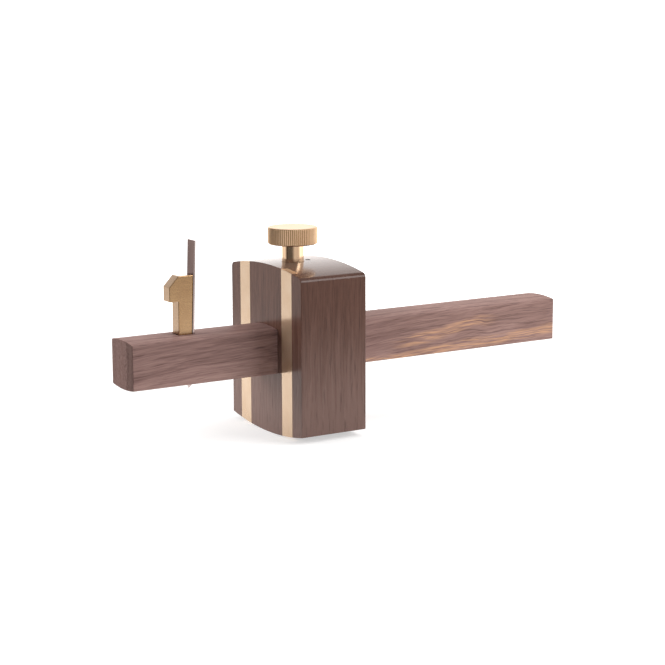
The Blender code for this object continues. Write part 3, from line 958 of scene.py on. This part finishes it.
def make_thumbscrew(material):
    """Knurled head, plain neck with a fillet under the head, thread, and a nose that seats in the shoe."""
    head_bottom = SCREW_HIGH.z - HEAD_HEIGHT
    head_middle = head_bottom + HEAD_HEIGHT / 2
    thread_low = SHOE_HIGH.z + SLIDE_GAP
    thread_high = NUT_HIGH.z + THREAD_PITCH
    core = SHANK_RADIUS - THREAD_DEPTH
    turns = [math.radians(90 * i / EDGE_STEPS) for i in range(EDGE_STEPS + 1)]
    fillet = [
        (SHANK_RADIUS + NECK_FILLET * (1 - math.sin(t)), head_bottom - NECK_FILLET * (1 - math.cos(t)))
        for t in turns
    ]
    shank = [
        (0, head_middle),
        (SHANK_RADIUS + NECK_FILLET, head_middle),
        *fillet,
        (SHANK_RADIUS, thread_high),
        (core, thread_high - THREAD_DEPTH),
        (core, thread_low),
        (NOSE_RADIUS, thread_low),
        (NOSE_RADIUS, SCREW_LOW.z),
        (0, SCREW_LOW.z),
    ]
    mesh = combine(knurled_head("thumbscrew_brass"), lathe("shank", shank, ROUND_STEPS), "UNION")
    mesh = combine(mesh, helix_ridge("ridge", thread_low, thread_high), "UNION")
    mesh = place(mesh, SCREW_X)
    piece("thumbscrew_brass", mesh, material, "thumbscrew", "thumbscrew")


def dress(node, material):
    """A CAD node that stays in view keeps its shape and takes a material."""
    for material_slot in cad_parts[node].material_slots:
        material_slot.material = material


# Camera and studio

def make_camera():
    """The photograph's viewpoint."""
    flat = math.cos(CAMERA_ELEVATION)
    back_x = math.sin(CAMERA_AZIMUTH) * flat
    back_y = -math.cos(CAMERA_AZIMUTH) * flat
    back = Vector((back_x, back_y, math.sin(CAMERA_ELEVATION)))
    data = bpy.data.cameras.new("camera")
    data.lens = CAMERA_LENS
    data.sensor_width = CAMERA_SENSOR
    data.clip_start = CAMERA_CLIP
    camera = bpy.data.objects.new("camera", data)
    position = Matrix.Translation(CAMERA_AIM + back * CAMERA_DISTANCE)
    level = (-back).to_track_quat("-Z", "Y").to_matrix().to_4x4()
    camera.matrix_world = position @ level @ Matrix.Rotation(CAMERA_ROLL, 4, "Z")
    bpy.context.scene.collection.objects.link(camera)
    bpy.context.scene.camera = camera


def make_lamp(name, position, size, power, mirrored):
    """A soft box that faces the object. mirrored says whether polished faces show it."""
    data = bpy.data.lights.new(name, "AREA")
    data.shape = "SQUARE"
    data.size = size
    data.energy = power
    lamp = bpy.data.objects.new(name, data)
    lamp.location = position
    lamp.rotation_mode = "QUATERNION"
    lamp.rotation_quaternion = (CAMERA_AIM - Vector(position)).to_track_quat("-Z", "Y")
    lamp.visible_camera = False
    lamp.visible_glossy = mirrored
    bpy.context.scene.collection.objects.link(lamp)


def make_world():
    """White to the camera. The object sees a bright backdrop, and a room that is dark left of the camera."""
    world = bpy.data.worlds.new("studio")
    bpy.context.scene.world = world
    room = Shader(world, "Background")
    towards = room.coordinate("Generated")
    rise = room.split(towards)[2]
    across = room.dot(towards, BACKDROP_SIDE)
    behind = room.span(across, *BEHIND_SPAN, smooth=True)
    back = room.span(rise, *CEILING_SPAN, ROOM_LEVEL, ROOM_LEVEL * CEILING_SHARE, smooth=True)
    front = room.span(rise, *FRONT_SPAN, ROOM_LEVEL, ROOM_LEVEL * FRONT_SHARE, smooth=True)
    height = room.plus(room.times(back, behind), room.times(front, room.minus(1.0, behind)))
    share = room.ramp(room.span(across, -1, 1), [(at, (level,) * 3) for at, level in ROOM_SHARES])
    shade = room.span(room.dot(towards, DARK_SIDE), *DARK_SPAN, 1.0, DARK_SHARE, smooth=True)
    gleam = room.span(room.dot(towards, BRIGHT_SIDE), *BRIGHT_SPAN, 1.0, BRIGHT_SHARE, smooth=True)
    lit = room.times(room.times(height, share), room.times(shade, gleam))
    camera, mirrored = room.light_path()
    backdrop = room.times(behind, room.span(rise, *WHITE_SPAN, 1.0, 0.0, smooth=True))
    ceiling = room.span(rise, *WHITE_SPAN, 0.0, WHITE_CEILING, smooth=True)
    white = room.plus(camera, room.times(mirrored, room.most(backdrop, ceiling)))
    room.set(Color=room.blend(camera, WARM_WHITE, WHITE), Strength=room.most(lit, white))


def make_floor():
    """A round white table that fades into the white of the studio and keeps the object's shadow."""
    floor = Shader(bpy.data.materials.new("white_table"))
    distance = floor.length(floor.coordinate("Object"))
    fade = floor.span(distance, FLOOR_FADE, FLOOR_RADIUS, smooth=True)
    camera, mirrored = floor.light_path()
    seen = floor.plus(camera, mirrored)
    glow = floor.plus(floor.times(seen, FLOOR_GLOW), floor.times(mirrored, FLOOR_MIRRORED_GLOW))
    floor.set(
        Base_Color=floor.blend(seen, FLOOR_COLOUR, FLOOR_SEEN),
        Roughness=FLOOR_ROUGHNESS,
        Specular_IOR_Level=0.0,
        Emission_Color=floor.blend(camera, WARM_WHITE, WHITE),
        Emission_Strength=glow,
    )
    clear = floor.add("ShaderNodeBsdfTransparent", {})
    mixed = floor.add("ShaderNodeMixShader", {0: fade, 1: floor.surface.outputs[0], 2: clear})
    floor.fill(floor.tree.nodes["Material Output"], {"Surface": mixed})
    bm = bmesh.new()
    bmesh.ops.create_circle(bm, cap_ends=True, segments=FLOOR_STEPS, radius=FLOOR_RADIUS)
    mesh = mesh_from(bm, "floor")
    mesh.materials.append(floor.owner)
    made = bpy.data.objects.new("floor", mesh)
    made.location.z = CAD_BOX[0].z
    bpy.context.scene.collection.objects.link(made)


bpy.context.scene.view_settings.view_transform = "Standard"
make_camera()
make_world()
make_floor()
make_lamp("top_box", position=(0.22, -0.02, 0.95), size=1.0, power=4.8, mirrored=False)
make_lamp("left_box", position=(-0.80, 0.55, 0.36), size=0.7, power=9.8, mirrored=False)
make_lamp("right_box", position=(0.44, -0.58, 0.50), size=0.5, power=5.2, mirrored=True)

# The stock's wood carries painted light from the table towards its foot
stock_wood = rosewood(
    "stock_rosewood_polished",
    STOCK_GRAIN,
    STOCK_PITH,
    STOCK_TONES,
    STOCK_PORES,
    coat=STOCK_POLISH,
    markings_and_painted_light=painted_table_bounce,
    end_shade=STOCK_END_SHADE,
)
# Painted shade for the inside of the pin's hole
shaded_hole_wood = rosewood(
    "stock_rosewood_hole_shade",
    STOCK_GRAIN,
    STOCK_PITH,
    SHADED_HOLE_TONES,
    SHADED_HOLE_PORES,
    coat=HOLE_POLISH,
)
stem_wood = rosewood(
    "stem_rosewood_oiled",
    STEM_GRAIN,
    STEM_PITH,
    STEM_TONES,
    STEM_PORES,
    coat=STEM_POLISH,
    markings_and_painted_light=tan_streaks,
    climb=STEM_CLIMB,
)
# The stem's end grain carries painted shade towards its front side
stem_ends = rosewood(
    "stem_rosewood_end",
    STEM_GRAIN,
    STEM_PITH,
    STEM_TONES,
    STEM_PORES,
    coat=STEM_POLISH,
    markings_and_painted_light=painted_end_shade_front,
)
strip_brass = brass("brass_strip", upright_marks, STRIP_ROUGHNESS, STRIP_TONES, metallic=STRIP_METALLIC)
screw_brass = brass("brass_turned", turned_marks, SCREW_ROUGHNESS, SCREW_TONES, grime=knurl_grime)
wedge_brass = brass(
    "brass_filed",
    filed_marks,
    WEDGE_ROUGHNESS,
    WEDGE_TONES,
    lacquer=WEDGE_LACQUER,
    relief=WEDGE_RELIEF,
)
steel = blade_steel()

make_stock(stock_wood, shaded_hole_wood)
make_strip("front_strip_brass", FRONT, strip_brass, "front_wear_strip")
make_strip("rear_strip_brass", REAR, strip_brass, "rear_wear_strip")
make_stem(stem_wood, stem_ends)
make_thumbscrew(screw_brass)
make_wedge(wedge_brass)
make_knife(steel)
dress("clamp_nut", screw_brass)
dress("clamp_shoe", screw_brass)
dress("nut_pin", steel)
